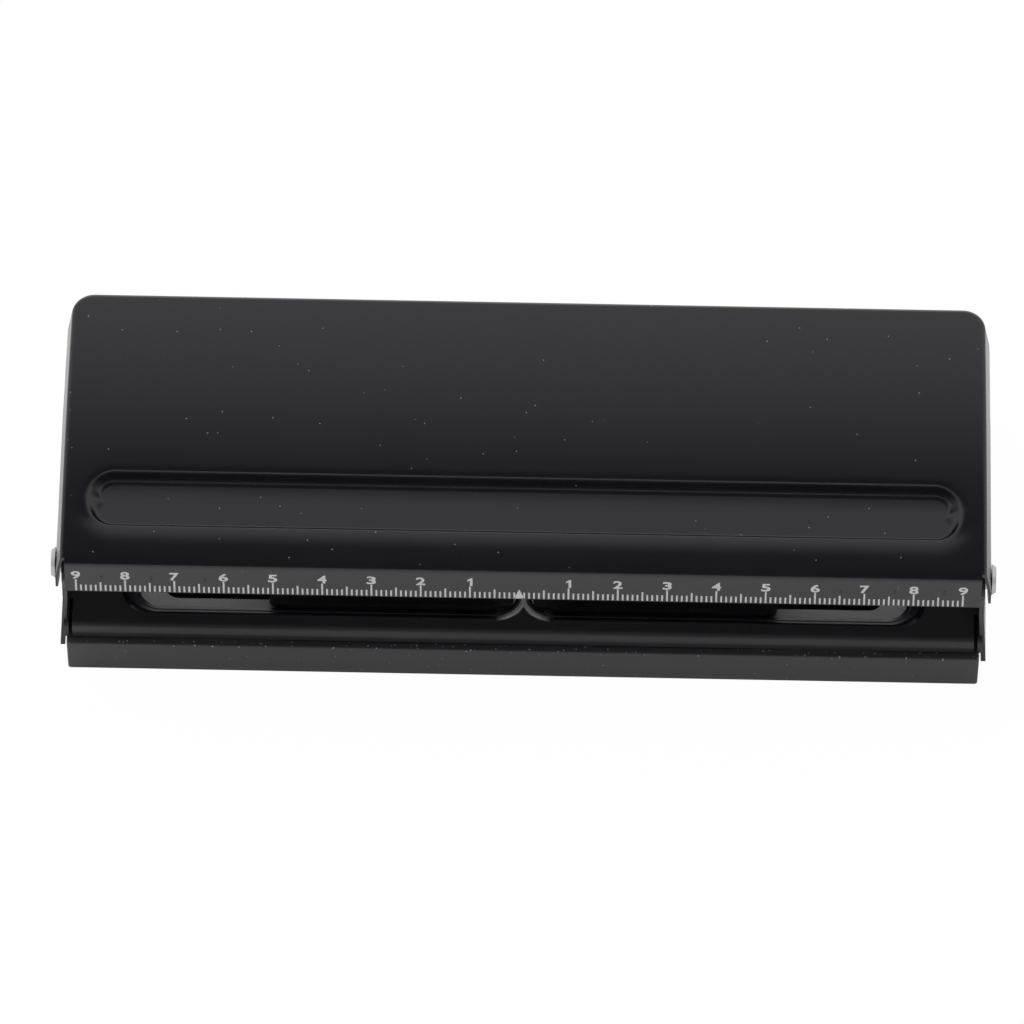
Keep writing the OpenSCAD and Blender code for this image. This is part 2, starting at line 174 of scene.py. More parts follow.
class PunchSettings(bpy.types.PropertyGroup):
    """Everything that a user of the punch would change."""
    lever: bpy.props.PointerProperty(type=LeverSizes)
    scale: bpy.props.PointerProperty(type=ScaleSizes)
    base: bpy.props.PointerProperty(type=BaseSizes)
    finishes: bpy.props.PointerProperty(type=Finishes)
    stage: bpy.props.PointerProperty(type=StageSettings)


# Shared mesh helpers


WELD = 0.001 * MM
FLAT_ANGLE = math.radians(1.0)
EDGE_ANGLE = 32.0
EDGE_STEPS = 3
ROUND_ANGLE = 60.0


def quads(numbers):
    """The quads of a grid of point numbers, as an array of four columns."""
    corners = [numbers[:-1, :-1], numbers[:-1, 1:], numbers[1:, 1:], numbers[1:, :-1]]
    return np.stack(corners, axis=-1).reshape(-1, 4)


def ring_faces(rows, columns, close_rows=False):
    """The quads of rows of points that are closed rings, with the last row joined to the first or not."""
    numbers = np.arange(rows * columns).reshape(rows, columns)
    numbers = np.hstack([numbers, numbers[:, :1]])
    if close_rows:
        numbers = np.vstack([numbers, numbers[:1]])
    return quads(numbers)


def mesh_from(name, points, faces):
    """A mesh made from an array of points and an array of quads."""
    points = np.asarray(points, np.float32).reshape(-1, 3)
    faces = np.asarray(faces, np.int32)
    mesh = bpy.data.meshes.new(name)
    mesh.vertices.add(len(points))
    mesh.vertices.foreach_set("co", points.ravel())
    mesh.loops.add(faces.size)
    mesh.loops.foreach_set("vertex_index", faces.ravel())
    mesh.polygons.add(len(faces))
    mesh.polygons.foreach_set("loop_start", np.arange(0, faces.size, 4, dtype=np.int32))
    mesh.update(calc_edges=True)
    mesh.validate()
    return mesh


def finish_mesh(mesh, smooth_angle=40.0):
    """Merges doubled points, turns the faces outwards and smooths the shading below an angle in degrees."""
    bm = bmesh.new()
    bm.from_mesh(mesh)
    bmesh.ops.remove_doubles(bm, verts=bm.verts, dist=WELD)
    bmesh.ops.dissolve_degenerate(bm, edges=bm.edges, dist=WELD)
    bmesh.ops.recalc_face_normals(bm, faces=bm.faces)
    bm.to_mesh(mesh)
    bm.free()
    mesh.shade_smooth()
    mesh.set_sharp_from_angle(angle=math.radians(smooth_angle))
    return mesh


def add_piece(name, mesh, body, material, replaced=()):
    """Puts a mesh in the scene as a piece of the punch that rides on a body."""
    piece = bpy.data.objects.new(name, mesh)
    bpy.context.scene.collection.objects.link(piece)
    mesh.materials.clear()
    mesh.materials.append(material)
    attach(piece, body)
    if replaced:
        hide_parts(*replaced)
    return piece


def round_edges(piece, radius, angle=EDGE_ANGLE):
    """Bevels the edges of a piece that are sharper than an angle in degrees."""
    bevel = piece.modifiers.new("Broken edges", "BEVEL")
    bevel.width = radius
    bevel.segments = EDGE_STEPS
    bevel.limit_method = "ANGLE"
    bevel.angle_limit = math.radians(angle)
    bevel.harden_normals = True


def soft_copy(node, body, material, edge):
    """A CAD node's shape with its edges broken: its triangles merged into flat faces, then bevelled."""
    mesh = frame["nodes"][node].data.copy()
    mesh.name = node + "_skin"
    bm = bmesh.new()
    bm.from_mesh(mesh)
    bmesh.ops.remove_doubles(bm, verts=bm.verts, dist=WELD)
    bmesh.ops.dissolve_limit(bm, angle_limit=FLAT_ANGLE, verts=bm.verts, edges=bm.edges, delimit=set())
    bm.to_mesh(mesh)
    bm.free()
    mesh.shade_smooth()
    mesh.set_sharp_from_angle(angle=math.radians(EDGE_ANGLE))
    round_edges(add_piece(node + "_skin", mesh, body, material, (node,)), edge)


# Finishes


def feed(tree, socket, value):
    """Links a socket to another one, or writes a plain value on it."""
    if isinstance(value, bpy.types.NodeSocket):
        tree.links.new(value, socket)
    else:
        socket.default_value = value


def add_node(tree, kind, **inputs):
    """Adds a shader node and feeds its inputs by their names, in which an underscore stands for a space."""
    made = tree.nodes.new("ShaderNode" + kind)
    for key, value in inputs.items():
        feed(tree, made.inputs[key.replace("_", " ")], value)
    return made


def maths(tree, operation, first, second=0.0):
    """One operation on two values or sockets."""
    made = tree.nodes.new("ShaderNodeMath")
    made.operation = operation
    feed(tree, made.inputs[0], first)
    feed(tree, made.inputs[1], second)
    return made.outputs[0]


def ramp_between(tree, value, low, high, start=0.0, end=1.0):
    """A value that goes from a start to an end, turned into one that goes from low to high."""
    made = add_node(tree, "MapRange", Value=value, From_Min=start, From_Max=end, To_Min=low, To_Max=high)
    return made.outputs["Result"]


def blend_colours(tree, share, first, second):
    """A mix of two colours by a share from 0 to 1."""
    made = tree.nodes.new("ShaderNodeMix")
    made.data_type = "RGBA"
    tree.links.new(share, made.inputs["Factor"])
    colours = [socket for socket in made.inputs if socket.type == "RGBA"]
    feed(tree, colours[0], first)
    feed(tree, colours[1], second)
    return [socket for socket in made.outputs if socket.type == "RGBA"][0]


def opaque(colour, gain=1.0):
    """A colour as four values, made lighter or darker by a gain."""
    return (*[channel * gain for channel in colour], 1.0)


def start_material(name):
    """A new material with its node tree, its shader and the object coordinates."""
    material = bpy.data.materials.new(name)
    material.use_nodes = True
    tree = material.node_tree
    shader = tree.nodes["Principled BSDF"]
    place = tree.nodes.new("ShaderNodeTexCoord").outputs["Object"]
    return material, tree, shader, place


def noise(tree, place, waves, detail=3.0):
    """A soft cloud pattern of that many waves to the metre."""
    return add_node(tree, "TexNoise", Vector=place, Scale=waves, Detail=detail).outputs["Fac"]


def speck_mask(tree, place, cells, size, share):
    """White on small specks: near the middles of a share of the cells of a cell pattern."""
    pattern = add_node(tree, "TexVoronoi", Vector=place, Scale=cells)
    near = maths(tree, "LESS_THAN", pattern.outputs["Distance"], size)
    tint = add_node(tree, "SeparateColor", Color=pattern.outputs["Color"])
    chosen = maths(tree, "LESS_THAN", tint.outputs["Red"], share)
    return maths(tree, "MULTIPLY", near, chosen)


def bump(tree, shader, height, depth, strength):
    """Raises the surface by a height pattern of that depth in metres."""
    made = add_node(tree, "Bump", Height=height, Distance=depth, Strength=strength)
    tree.links.new(made.outputs["Normal"], shader.inputs["Normal"])


def clouded(name, colour, waves, gains, rough):
    """Starts a finish whose colour varies between two gains, and its roughness between two values."""
    material, tree, shader, place = start_material(name)
    cloud = noise(tree, place, waves)
    tone = blend_colours(tree, cloud, opaque(colour, gains[0]), opaque(colour, gains[1]))
    tree.links.new(tone, shader.inputs["Base Color"])
    tree.links.new(ramp_between(tree, cloud, *rough), shader.inputs["Roughness"])
    return material, tree, shader, place, tone


def tint_by(tree, shader, mask, tone, colour):
    """Colours a finish by its tone, and by another colour where a mask is white."""
    tree.links.new(blend_colours(tree, mask, tone, colour), shader.inputs["Base Color"])


def orange_peel(tree, shader, place):
    """The faint waves that enamel dries with."""
    bump(tree, shader, noise(tree, place, waves=1100.0, detail=2.0), depth=0.012 * MM, strength=0.5)


SATIN_SPECULAR = 0.22
SPECK = (0.2, 0.2, 0.21, 1.0)
DUST = (0.36, 0.36, 0.37, 1.0)
DUSTY_RIM = 0.6 * MM
# Painted highlight on the window beads: the grey that stands in for light they reflect near the middle, the
# span over which it fades out from the middle, and the heights over which it fades in up the crest
PAINTED_LIP_HIGHLIGHT = (0.3, 0.3, 0.31, 1.0)
LIP_HIGHLIGHT_REACH = (3.2 * MM, 5.6 * MM)
LIP_HIGHLIGHT_CREST = (BED_Z + 0.15 * MM, BED_Z + 0.35 * MM)
LINE_SMOOTHER = 0.06
LINE_ROUGHER = 0.1
PORE_GAIN = 0.4


def enamel_finish(finishes):
    """Black stove enamel: a soft gloss with a faint orange peel and a few dust specks."""
    material, tree, shader, place, tone = clouded(
        "black_enamel", finishes.enamel, waves=45.0, gains=(0.85, 1.2), rough=(0.17, 0.25))
    tint_by(tree, shader, speck_mask(tree, place, cells=330.0, size=0.045, share=0.7), tone, SPECK)
    orange_peel(tree, shader, place)
    return material


def satin_finish(finishes):
    """Black satin enamel with a faint orange peel, duller than the lever's."""
    material, tree, shader, place, _ = clouded(
        "satin_enamel", finishes.satin, waves=45.0, gains=(0.85, 1.2), rough=(0.16, 0.24))
    shader.inputs["Specular IOR Level"].default_value = SATIN_SPECULAR
    orange_peel(tree, shader, place)
    return material


def lip_finish(finishes):
    """Black enamel with a painted highlight: light grey on the bead crests where the two windows meet in
    the middle.
    """
    material, tree, shader, place, tone = clouded(
        "rubbed_enamel", finishes.enamel, waves=45.0, gains=(1.0, 1.0), rough=(0.17, 0.25))
    axes = add_node(tree, "SeparateXYZ", Vector=place).outputs
    near = ramp_between(tree, maths(tree, "ABSOLUTE", axes["X"]), 1.0, 0.0, *LIP_HIGHLIGHT_REACH)
    crest = ramp_between(tree, axes["Z"], 0.0, 1.0, *LIP_HIGHLIGHT_CREST)
    # Paints the highlight: light grey where the bead crests near the middle would reflect light
    tint_by(tree, shader, maths(tree, "MULTIPLY", near, crest), tone, PAINTED_LIP_HIGHLIGHT)
    return material


def plastic_finish(finishes):
    """Matt black plastic with a fine moulded grain and white paper dust, most on the rim."""
    material, tree, shader, place, tone = clouded(
        "matt_plastic", finishes.plastic, waves=60.0, gains=(0.8, 1.25), rough=(0.46, 0.6))
    coarse = speck_mask(tree, place, cells=330.0, size=0.04, share=0.6)
    fine = speck_mask(tree, place, cells=620.0, size=0.055, share=0.6)
    height = add_node(tree, "SeparateXYZ", Vector=place).outputs["Z"]
    on_rim = maths(tree, "GREATER_THAN", height, TRAY_HIGH.z - DUSTY_RIM)
    rim_dust = maths(tree, "MULTIPLY", on_rim, speck_mask(tree, place, cells=1100.0, size=0.16, share=0.5))
    dust = maths(tree, "MAXIMUM", maths(tree, "MAXIMUM", coarse, fine), rim_dust)
    tint_by(tree, shader, dust, tone, DUST)
    bump(tree, shader, noise(tree, place, waves=2600.0, detail=2.0), depth=0.02 * MM, strength=0.6)
    return material


def casting_finish(finishes):
    """Satin black coat over a casting, with a soft pebbled skin."""
    material, tree, shader, place, _ = clouded(
        "satin_casting", finishes.casting, waves=90.0, gains=(0.8, 1.3), rough=(0.36, 0.5))
    bump(tree, shader, noise(tree, place, waves=1500.0), depth=0.02 * MM, strength=0.6)
    return material


def metal_finish(name, colour, stretch, rough, tone_gain):
    """Bare or plated metal with fine lines drawn out along one axis and uneven tone."""
    material, tree, shader, place = start_material(name)
    shader.inputs["Metallic"].default_value = 1.0
    drawn = add_node(tree, "Mapping", Vector=place, Scale=stretch).outputs["Vector"]
    lines = noise(tree, drawn, waves=900.0)
    share = maths(tree, "MULTIPLY", lines, noise(tree, place, waves=120.0))
    tone = blend_colours(tree, share, opaque(colour, tone_gain), opaque(colour))
    tree.links.new(tone, shader.inputs["Base Color"])
    roughness = ramp_between(tree, lines, rough - LINE_SMOOTHER, rough + LINE_ROUGHER)
    tree.links.new(roughness, shader.inputs["Roughness"])
    bump(tree, shader, lines, depth=0.004 * MM, strength=0.5)
    return material


def bronze_finish(finishes):
    """Sintered bronze: warm metal with dark pores."""
    material, tree, shader, place, tone = clouded(
        "sintered_bronze", finishes.bronze, waves=150.0, gains=(0.8, 1.1), rough=(0.35, 0.5))
    shader.inputs["Metallic"].default_value = 1.0
    pores = speck_mask(tree, place, cells=1800.0, size=0.3, share=0.5)
    tint_by(tree, shader, pores, tone, opaque(finishes.bronze, PORE_GAIN))
    bump(tree, shader, maths(tree, "SUBTRACT", 1.0, pores), depth=0.01 * MM, strength=0.6)
    return material


def print_finish(name, colour):
    """Screen print: flat ink that is a little uneven in tone."""
    return clouded(name, colour, waves=700.0, gains=(0.82, 1.0), rough=(0.4, 0.55))[0]


COATS = {
    "black_enamel": enamel_finish,
    "satin_enamel": satin_finish,
    # Enamel of the window lips, with a painted highlight on their crests near the middle
    "rubbed_enamel": lip_finish,
    "matt_plastic": plastic_finish,
    "satin_casting": casting_finish,
    "sintered_bronze": bronze_finish,
}
# Colour, stretch of the drawn lines, roughness and gain of the darker tone of each metal
METALS = {
    "bright_steel": ("steel", (0.05, 1, 1), 0.26, 0.75),
    "turned_steel": ("steel", (1, 1, 0.05), 0.22, 0.8),
    "spring_wire": ("steel", (1, 1, 1), 0.3, 0.7),
    "rail_zinc": ("rail", (0.03, 1, 1), 0.5, 0.85),
}
PRINTS = {"white_print": "print", "dark_print": "mark"}


def finish_named(name):
    """One of the punch's finishes by its plain name, made the first time it is asked for."""
    finishes = bpy.context.scene.punch.finishes
    if name in bpy.data.materials:
        return bpy.data.materials[name]
    if name in METALS:
        colour, stretch, rough, tone_gain = METALS[name]
        return metal_finish(name, getattr(finishes, colour), stretch, rough, tone_gain)
    if name in PRINTS:
        return print_finish(name, getattr(finishes, PRINTS[name]))
    return COATS[name](finishes)


# Outlines and shells


SHOULDER_POINTS = 16
CORNER_POINTS = 7
END_POINTS = 24
LONG_POINTS = 40


def arc(centre, radius, start, end):
    """Points along a circle in plan, between two angles in degrees."""
    angle = np.radians(np.linspace(start, end, CORNER_POINTS))
    return np.stack([centre[0] + radius * np.cos(angle), centre[1] + radius * np.sin(angle)], axis=-1)


def joined(*runs):
    """Runs of points joined end to end, each without its last point."""
    return np.concatenate([run[:-1] for run in runs])


def round_plan(half_w, front, rear, radius):
    """A rectangle with round corners in plan, as a closed run of points that goes round to the left.
    Its straight long sides are sampled at the same places in front and behind, so that rings drawn
    in towards its middle line meet there."""
    inner = half_w - (rear - front) / 2
    end = joined(
        np.linspace((inner, front), (half_w - radius, front), SHOULDER_POINTS),
        arc((half_w - radius, front + radius), radius, -90, 0),
        np.linspace((half_w, front + radius), (half_w, rear - radius), END_POINTS),
        arc((half_w - radius, rear - radius), radius, 0, 90),
        np.linspace((half_w - radius, rear), (inner, rear), SHOULDER_POINTS))
    behind = np.linspace((inner, rear), (-inner, rear), LONG_POINTS)
    before = np.linspace((-inner, front), (inner, front), LONG_POINTS)
    other_end = np.concatenate([end, behind[:1]])[::-1] * (-1, 1)
    return joined(np.concatenate([end, behind[:1]]), behind, other_end, before)


def ring_shell(outline, inset, height):
    """Points of a shell drawn as rings: each ring is the outline moved in towards the middle line of its
    rectangle by an inset, at a height. Inset and height are columns with a row for each ring."""
    low, high = outline.min(axis=0), outline.max(axis=0)
    half = (high[1] - low[1]) / 2
    middle = np.stack([
        np.clip(outline[:, 0], low[0] + half, high[0] - half),
        np.full(len(outline), (low[1] + high[1]) / 2)], axis=-1)
    plan = middle + (outline - middle) * (1 - inset / half)[..., None]
    return np.concatenate([plan, np.broadcast_to(height, plan.shape[:2])[..., None]], axis=-1)


# Lever


class Crown:
    """The circle that the lever's top follows, through its front and rear edges."""

    def __init__(self, sizes):
        front_top = REAR_TOP - sizes.rise
        chord = math.hypot(LEVER_REAR - LEVER_FRONT, sizes.rise)
        self.radius = chord ** 2 / (8 * sizes.crown) + sizes.crown / 2
        reach = self.radius - sizes.crown
        self.y = LEVER_MID + sizes.rise / chord * reach
        self.z = (front_top + REAR_TOP) / 2 - (LEVER_REAR - LEVER_FRONT) / chord * reach

    def height(self, y):
        """Height of the top at a distance along Y."""
        return self.z + np.sqrt(self.radius ** 2 - (y - self.y) ** 2)

    def slope(self, y):
        """Angle of the top against the table at a distance along Y."""
        return np.arcsin((self.y - y) / self.radius)


def soft_positive(value, blend):
    """The value where it is well above zero and zero where it is well below, with a round blend between."""
    return (value + np.sqrt(value ** 2 + blend ** 2)) / 2


def soft_least(first, second, blend):
    """The lesser of two values, less a round blend where they are within twice the blend of each other."""
    near = np.maximum(1 - np.abs(first - second) / (2 * blend), 0)
    return np.minimum(first, second) - near ** 2 * blend / 2


def smooth_step(value):
    """Zero up to 0, one from 1 on, and an even curve between."""
    share = np.clip(value, 0, 1)
    return share ** 2 * (3 - 2 * share)


SIDE_STEEPNESS = math.tan(math.radians(74))
END_STEEPNESS = math.tan(math.radians(50))
FRONT_STEEPNESS = math.tan(math.radians(50))
RIM_BLEND = 0.9 * MM
END_BLEND = 0.8 * MM
FLOOR_BLEND = 1.0 * MM
FRONT_BLEND = 0.13 * MM
ROLL_RUN = 5.2 * MM
ROLL_DROP = 0.85 * MM
SWEEP_START = 0.2
SWEEP_BEND = 20.0
OUTSIDE_LIFT = 4.0
UNDER_GROWTH = 0.75
LEAST_OUT = 0.1 * MM


def recess_drop(x, y, sizes, crown, depth):
    """How far the top is pressed down at a place. The wall deepens steadily inwards from an oval rim, less
    steeply at the ends and in front. The floor is a flat that drops to the rear against the top and sweeps
    up to the rear wall; the lesser of the two depths is taken. Before the rim the top rolls down to it.
    Under the sheet, at a depth, the oval is larger by most of the sheet's thickness."""
    half_w = sizes.recess_width / 2 + UNDER_GROWTH * depth
    centre = LEVER_FRONT + sizes.recess_back
    slope = crown.slope(centre)
    along = (y - centre) / math.cos(slope)
    past_end = np.maximum(np.abs(x) - (sizes.recess_length - sizes.recess_width) / 2, 0)
    out = np.hypot(past_end, along)
    inside = half_w - out
    endward = (past_end / np.maximum(out, LEAST_OUT)) ** 2
    frontward = smooth_step(-along / half_w)
    ahead = smooth_step(-2 * along / half_w) * (1 - endward)
    steepness = SIDE_STEEPNESS + (FRONT_STEEPNESS - SIDE_STEEPNESS) * ahead
    wall = inside * (steepness + (END_STEEPNESS - steepness) * endward)
    roll = ROLL_DROP * np.clip(1 + inside / ROLL_RUN, 0, 1) ** 2 * frontward
    floor = sizes.recess_depth + math.tan(sizes.recess_tilt) * along - along ** 2 / (2 * crown.radius)
    floor -= SWEEP_BEND * np.maximum(along - SWEEP_START * half_w, 0) ** 2
    floor += OUTSIDE_LIFT * np.maximum(-inside, 0)
    rim_blend = RIM_BLEND + (END_BLEND - RIM_BLEND) * endward
    rim = soft_positive(wall, rim_blend + (FRONT_BLEND - rim_blend) * ahead)
    pressed = soft_least(rim + roll, floor, FLOOR_BLEND + (FRONT_BLEND - FLOOR_BLEND) * ahead)
    return np.maximum(pressed, 0) / math.cos(slope)


NOSE_RUN = 8.0 * MM
FOOT_ROUNDING = 1.5 * MM
FOOT_SAMPLES = 9


def flange_foot(y, sizes):
    """Height of the flanges' lower edge: level at the front, down to a nose round the pivot, then rising
    straight to the rear flange. Its corners are rounded by averaging over a short stretch."""
    flange_z = REAR_TOP - sizes.rise - sizes.flange
    knots = [LEVER_FRONT, LEVER_FRONT + SHEET, PIVOT_Y, PIVOT_Y + NOSE_RUN, LEVER_REAR]
    heights = [flange_z, flange_z, LEVER_NOSE_Z, LEVER_NOSE_Z, REAR_TOP - sizes.rear_skirt]
    reach = np.clip((y - LEVER_FRONT - SHEET) / 2, 0, FOOT_ROUNDING)
    spread = np.linspace(-1, 1, FOOT_SAMPLES)[:, None]
    return np.interp(y + spread * reach, knots, heights).mean(axis=0)


FLARE_RUN = 6.0 * MM
COVER_EDGE = 0.18 * MM
COVER_EDGE_ANGLE = 60.0
DRAWN_SHEET = 0.5 * MM
BEND_STEPS = 8
SKIRT_STEPS = 10
CORNER_STEPS = 12
RIM_MARGIN = 1.5 * MM
FRONT_STEP = 3.5 * MM
REAR_WALL = 4.5 * MM
# Steps in each stretch of the top's grid, from front to rear and from left to right
ROW_COUNTS = (14, 40, 18, 36, 26)
COLUMN_COUNTS = (6, 56, 60, 56, 6)


def graded(knots, counts):
    """Places along a line, evenly spaced within each stretch between two knots."""
    runs = [np.linspace(a, b, count, endpoint=False) for a, b, count in zip(knots, knots[1:], counts)]
    return np.concatenate(runs + [knots[-1:]])


def bent_flange(edge, out, radius, flare, depth, sizes, crown):
    """A flange hung on an edge of the top: a round bend outwards and down, then on down to its foot while
    it spreads at the sides. The edge itself isn't repeated."""
    turn = np.linspace(0, math.pi / 2, BEND_STEPS + 1)[1:, None]
    inner = radius - depth
    plan = edge[:, :2] + out * (inner * np.sin(turn))[..., None]
    fall = crown.height(edge[:, 1]) - crown.height(plan[..., 1])
    height = edge[:, 2] - fall - inner * (1 - np.cos(turn))
    rim = height[-1]
    foot = flange_foot(plan[-1, :, 1], sizes)
    down = np.linspace(0, 1, SKIRT_STEPS + 1)[1:, None]
    skirt = rim + (foot - rim) * down
    hung = np.repeat(plan[-1:], SKIRT_STEPS, axis=0)
    hung[..., 0] += flare * np.clip((rim - skirt) / FLARE_RUN, 0, 1) * out[:, 0]
    plan = np.concatenate([plan, hung])
    height = np.concatenate([height, skirt])
    return np.concatenate([plan, height[..., None]], axis=-1)


def boundary(grid):
    """The right, rear and left edges of a grid of the top, as one run from its front right corner."""
    return np.concatenate([grid[:, -1], grid[-1, -2::-1], grid[-2::-1, 0]])


def lever_skin(sizes, crown, depth):
    """Three grids of points of one skin of the lever, a depth below its outer face: the crowned top with
    its recess, the front flange, and the flange round the sides and the rear, which is drawn thinner."""
    half_w = LEVER_HALF_W - sizes.side_flare - sizes.side_bend
    front = LEVER_FRONT + sizes.front_bend
    rear = LEVER_REAR - sizes.side_bend
    corner = sizes.rear_corner - sizes.side_bend
    middle = LEVER_FRONT + sizes.recess_back
    reach = sizes.recess_width / 2 + RIM_MARGIN
    turn = np.linspace(0, math.pi / 2, CORNER_STEPS + 1)
    row_knots = (front, middle - reach, middle - FRONT_STEP,
                 middle + reach - REAR_WALL, middle + reach, rear - corner)
    straight_y = graded(row_knots, ROW_COUNTS)
    y = np.concatenate([straight_y, rear - corner * (1 - np.sin(turn[1:]))])
    lean = np.concatenate([np.zeros(len(straight_y)), turn[1:]])
    end = sizes.recess_length / 2
    inner_end = end - sizes.recess_width
    column_knots = (-half_w, -end - RIM_MARGIN, -inner_end, inner_end, end + RIM_MARGIN, half_w)
    across = graded(column_knots, COLUMN_COUNTS)
    narrowed = 1 - corner * (1 - np.cos(lean)) / half_w
    x = across * narrowed[:, None]
    back = np.broadcast_to(y[:, None], x.shape)
    sunk = depth / np.cos(crown.slope(back)) + recess_drop(x, back, sizes, crown, depth)
    top = np.stack([x, back, crown.height(back) - sunk], axis=-1)
    ahead = np.tile((0.0, -1.0), (len(across), 1))
    side_out = np.stack([np.cos(lean), np.sin(lean)], axis=-1)
    rear_out = np.tile((0.0, 1.0), (len(across) - 1, 1))
    around_out = np.concatenate([side_out, rear_out, side_out[-2::-1] * (-1, 1)])
    front_flange = bent_flange(top[0], ahead, sizes.front_bend, 0.0, depth, sizes, crown)
    drawn = min(depth, DRAWN_SHEET)
    around = bent_flange(boundary(top), around_out, sizes.side_bend, sizes.side_flare, drawn, sizes, crown)
    return top, front_flange, around


def numbered(grid, start):
    """Running numbers for the points of a grid."""
    return start + np.arange(grid.shape[0] * grid.shape[1]).reshape(grid.shape[:2])


def lever_mesh(sizes):
    """The lever as a closed shell: an outer and an inner skin, joined along their free edges. The front
    flange and the sides stay apart at the front corners, and the sides draw in a little to the rear."""
    crown = Crown(sizes)
    skins = [lever_skin(sizes, crown, depth) for depth in (0.0, SHEET)]
    points = np.concatenate([grid.reshape(-1, 3) for skin in skins for grid in skin])
    back = (points[:, 1] - LEVER_FRONT) / (LEVER_REAR - LEVER_FRONT)
    points[:, 0] *= 1 - sizes.rear_taper / LEVER_HALF_W * back
    count = len(points) // 2
    top, front, around = skins[0]
    top_n = numbered(top, 0)
    front_n = np.vstack([top_n[:1], numbered(front, top_n.size)])
    around_n = np.vstack([boundary(top_n)[None], numbered(around, top_n.size + front_n[1:].size)])
    skin_faces = np.concatenate([quads(top_n), quads(front_n)[:, ::-1], quads(around_n)[:, ::-1]])
    edges = [run for grid in (front_n, around_n) for run in (grid[:-1, 0], grid[-1, :-1], grid[:0:-1, -1])]
    free = np.concatenate(edges)
    following = np.roll(free, -1)
    rim = np.stack([free, following, following + count, free + count], axis=-1)
    return mesh_from("lever_cover", points, np.concatenate([skin_faces, skin_faces[:, ::-1] + count, rim]))


class PUNCH_OT_lever_cover(bpy.types.Operator):
    """Make the pressed lever with its crown, recess, bends and flanges"""
    bl_idname = "punch.lever_cover"
    bl_label = "Lever cover"

    def execute(self, context):
        mesh = finish_mesh(lever_mesh(context.scene.punch.lever))
        cover = add_piece(
            "lever_cover", mesh, "lever_arm", finish_named("black_enamel"), ("lever",))
        round_edges(cover, COVER_EDGE, COVER_EDGE_ANGLE)
        return {"FINISHED"}


# Scale


def boxes(low, high):
    """Points and quads of a row of boxes, each between a low and a high corner."""
    pick = np.array([[i, j, k] for i in (0, 1) for j in (0, 1) for k in (0, 1)])
    points = np.where(pick[None], np.asarray(high)[:, None], np.asarray(low)[:, None])
    sides = np.array([[0, 1, 3, 2], [4, 6, 7, 5], [0, 4, 5, 1], [2, 3, 7, 6], [0, 2, 6, 4], [1, 5, 7, 3]])
    faces = sides[None] + 8 * np.arange(len(points))[:, None, None]
    return points.reshape(-1, 3), faces.reshape(-1, 4)


INK = 0.03 * MM
INK_ROOT = 0.03 * MM
TICK_FOOT = 0.3 * MM
MARK_PLACES = (64.5 * MM, 75.4 * MM, 85.5 * MM)
MARK_WIDTH = 0.5 * MM
MARK_HEIGHT = 1.7 * MM
POINTER_WIDTH = 2.1 * MM
POINTER_HEIGHT = 3.2 * MM
FIGURE_WIDTH = 0.68
FIGURE_GAP = 0.2 * MM
FIGURE_BOLDNESS = 0.028
FIGURE_STEPS = 4
ONE_WIDTH = 0.55
POINTER_TIP = 0.02
TICKS_TO_CENTIMETRE = 10
CENTIMETRE = TICKS_TO_CENTIMETRE * MM
PRINT_ANGLE = 20.0


def flange_box(x, half_width, z_low, z_high):
    """Low and high corners of thin ink boxes on the front flange."""
    count = len(x)
    low = np.stack([x - half_width, np.full(count, LEVER_FRONT - INK), np.full(count, z_low)], axis=-1)
    high = np.stack([x + half_width, np.full(count, LEVER_FRONT + INK_ROOT), z_high], axis=-1)
    return low, high


def tick_mesh(sizes, foot):
    """Every tick of the scale: one a millimetre, taller at the half and whole centimetres."""
    last = TICKS_TO_CENTIMETRE * sizes.reach
    count = np.arange(-last, last + 1)
    count = count[count != 0]
    tall = np.where(count % TICKS_TO_CENTIMETRE == 0, sizes.long_tick,
                    np.where(count % (TICKS_TO_CENTIMETRE // 2) == 0, sizes.half_tick, sizes.short_tick))
    low, high = flange_box(sizes.zero + count * MM, sizes.tick_width / 2, foot, foot + tall)
    return mesh_from("scale_ticks", *boxes(low, high))


def pointer_mesh(sizes, foot):
    """The triangle at the scale's zero, as a thin prism."""
    across = np.array([-0.5, 0.5, POINTER_TIP, -POINTER_TIP]) * POINTER_WIDTH + sizes.zero
    up = np.array([0, 0, 1, 1]) * POINTER_HEIGHT + foot
    face = [np.stack([across, np.full(4, depth), up], axis=-1)
            for depth in (LEVER_FRONT - INK, LEVER_FRONT + INK_ROOT)]
    faces = np.array([[0, 1, 2, 3], [7, 6, 5, 4], [0, 4, 5, 1], [1, 5, 6, 2], [2, 6, 7, 3], [3, 7, 4, 0]])
    return mesh_from("scale_pointer", np.concatenate(face), faces)


ONE_OUTLINE = ((-0.5, 0.58), (0.0, 0.72), (0.0, 0.0), (0.5, 0.0), (0.5, 1.0), (0.1, 1.0), (-0.5, 0.79))


def one_mesh():
    """The figure 1 as an outline with some depth: a stem with a flag, as the font's 1 is a bare bar."""
    count = len(ONE_OUTLINE)
    points = [(x, y, depth) for depth in (-0.5, 0.5) for x, y in ONE_OUTLINE]
    sides = [(i, (i + 1) % count, count + (i + 1) % count, count + i) for i in range(count)]
    caps = [tuple(reversed(range(count))), tuple(range(count, 2 * count))]
    mesh = bpy.data.meshes.new("figure")
    mesh.from_pydata(points, [], sides + caps)
    return mesh


def font_mesh(number):
    """A figure of the built-in font as a mesh with some depth, a little bolder than it comes."""
    text = bpy.data.curves.new("figure", "FONT")
    text.body = str(number)
    text.offset = FIGURE_BOLDNESS
    text.resolution_u = FIGURE_STEPS
    text.extrude = 0.5
    holder = bpy.data.objects.new("figure", text)
    mesh = bpy.data.meshes.new_from_object(holder)
    bpy.data.objects.remove(holder)
    bpy.data.curves.remove(text)
    return mesh


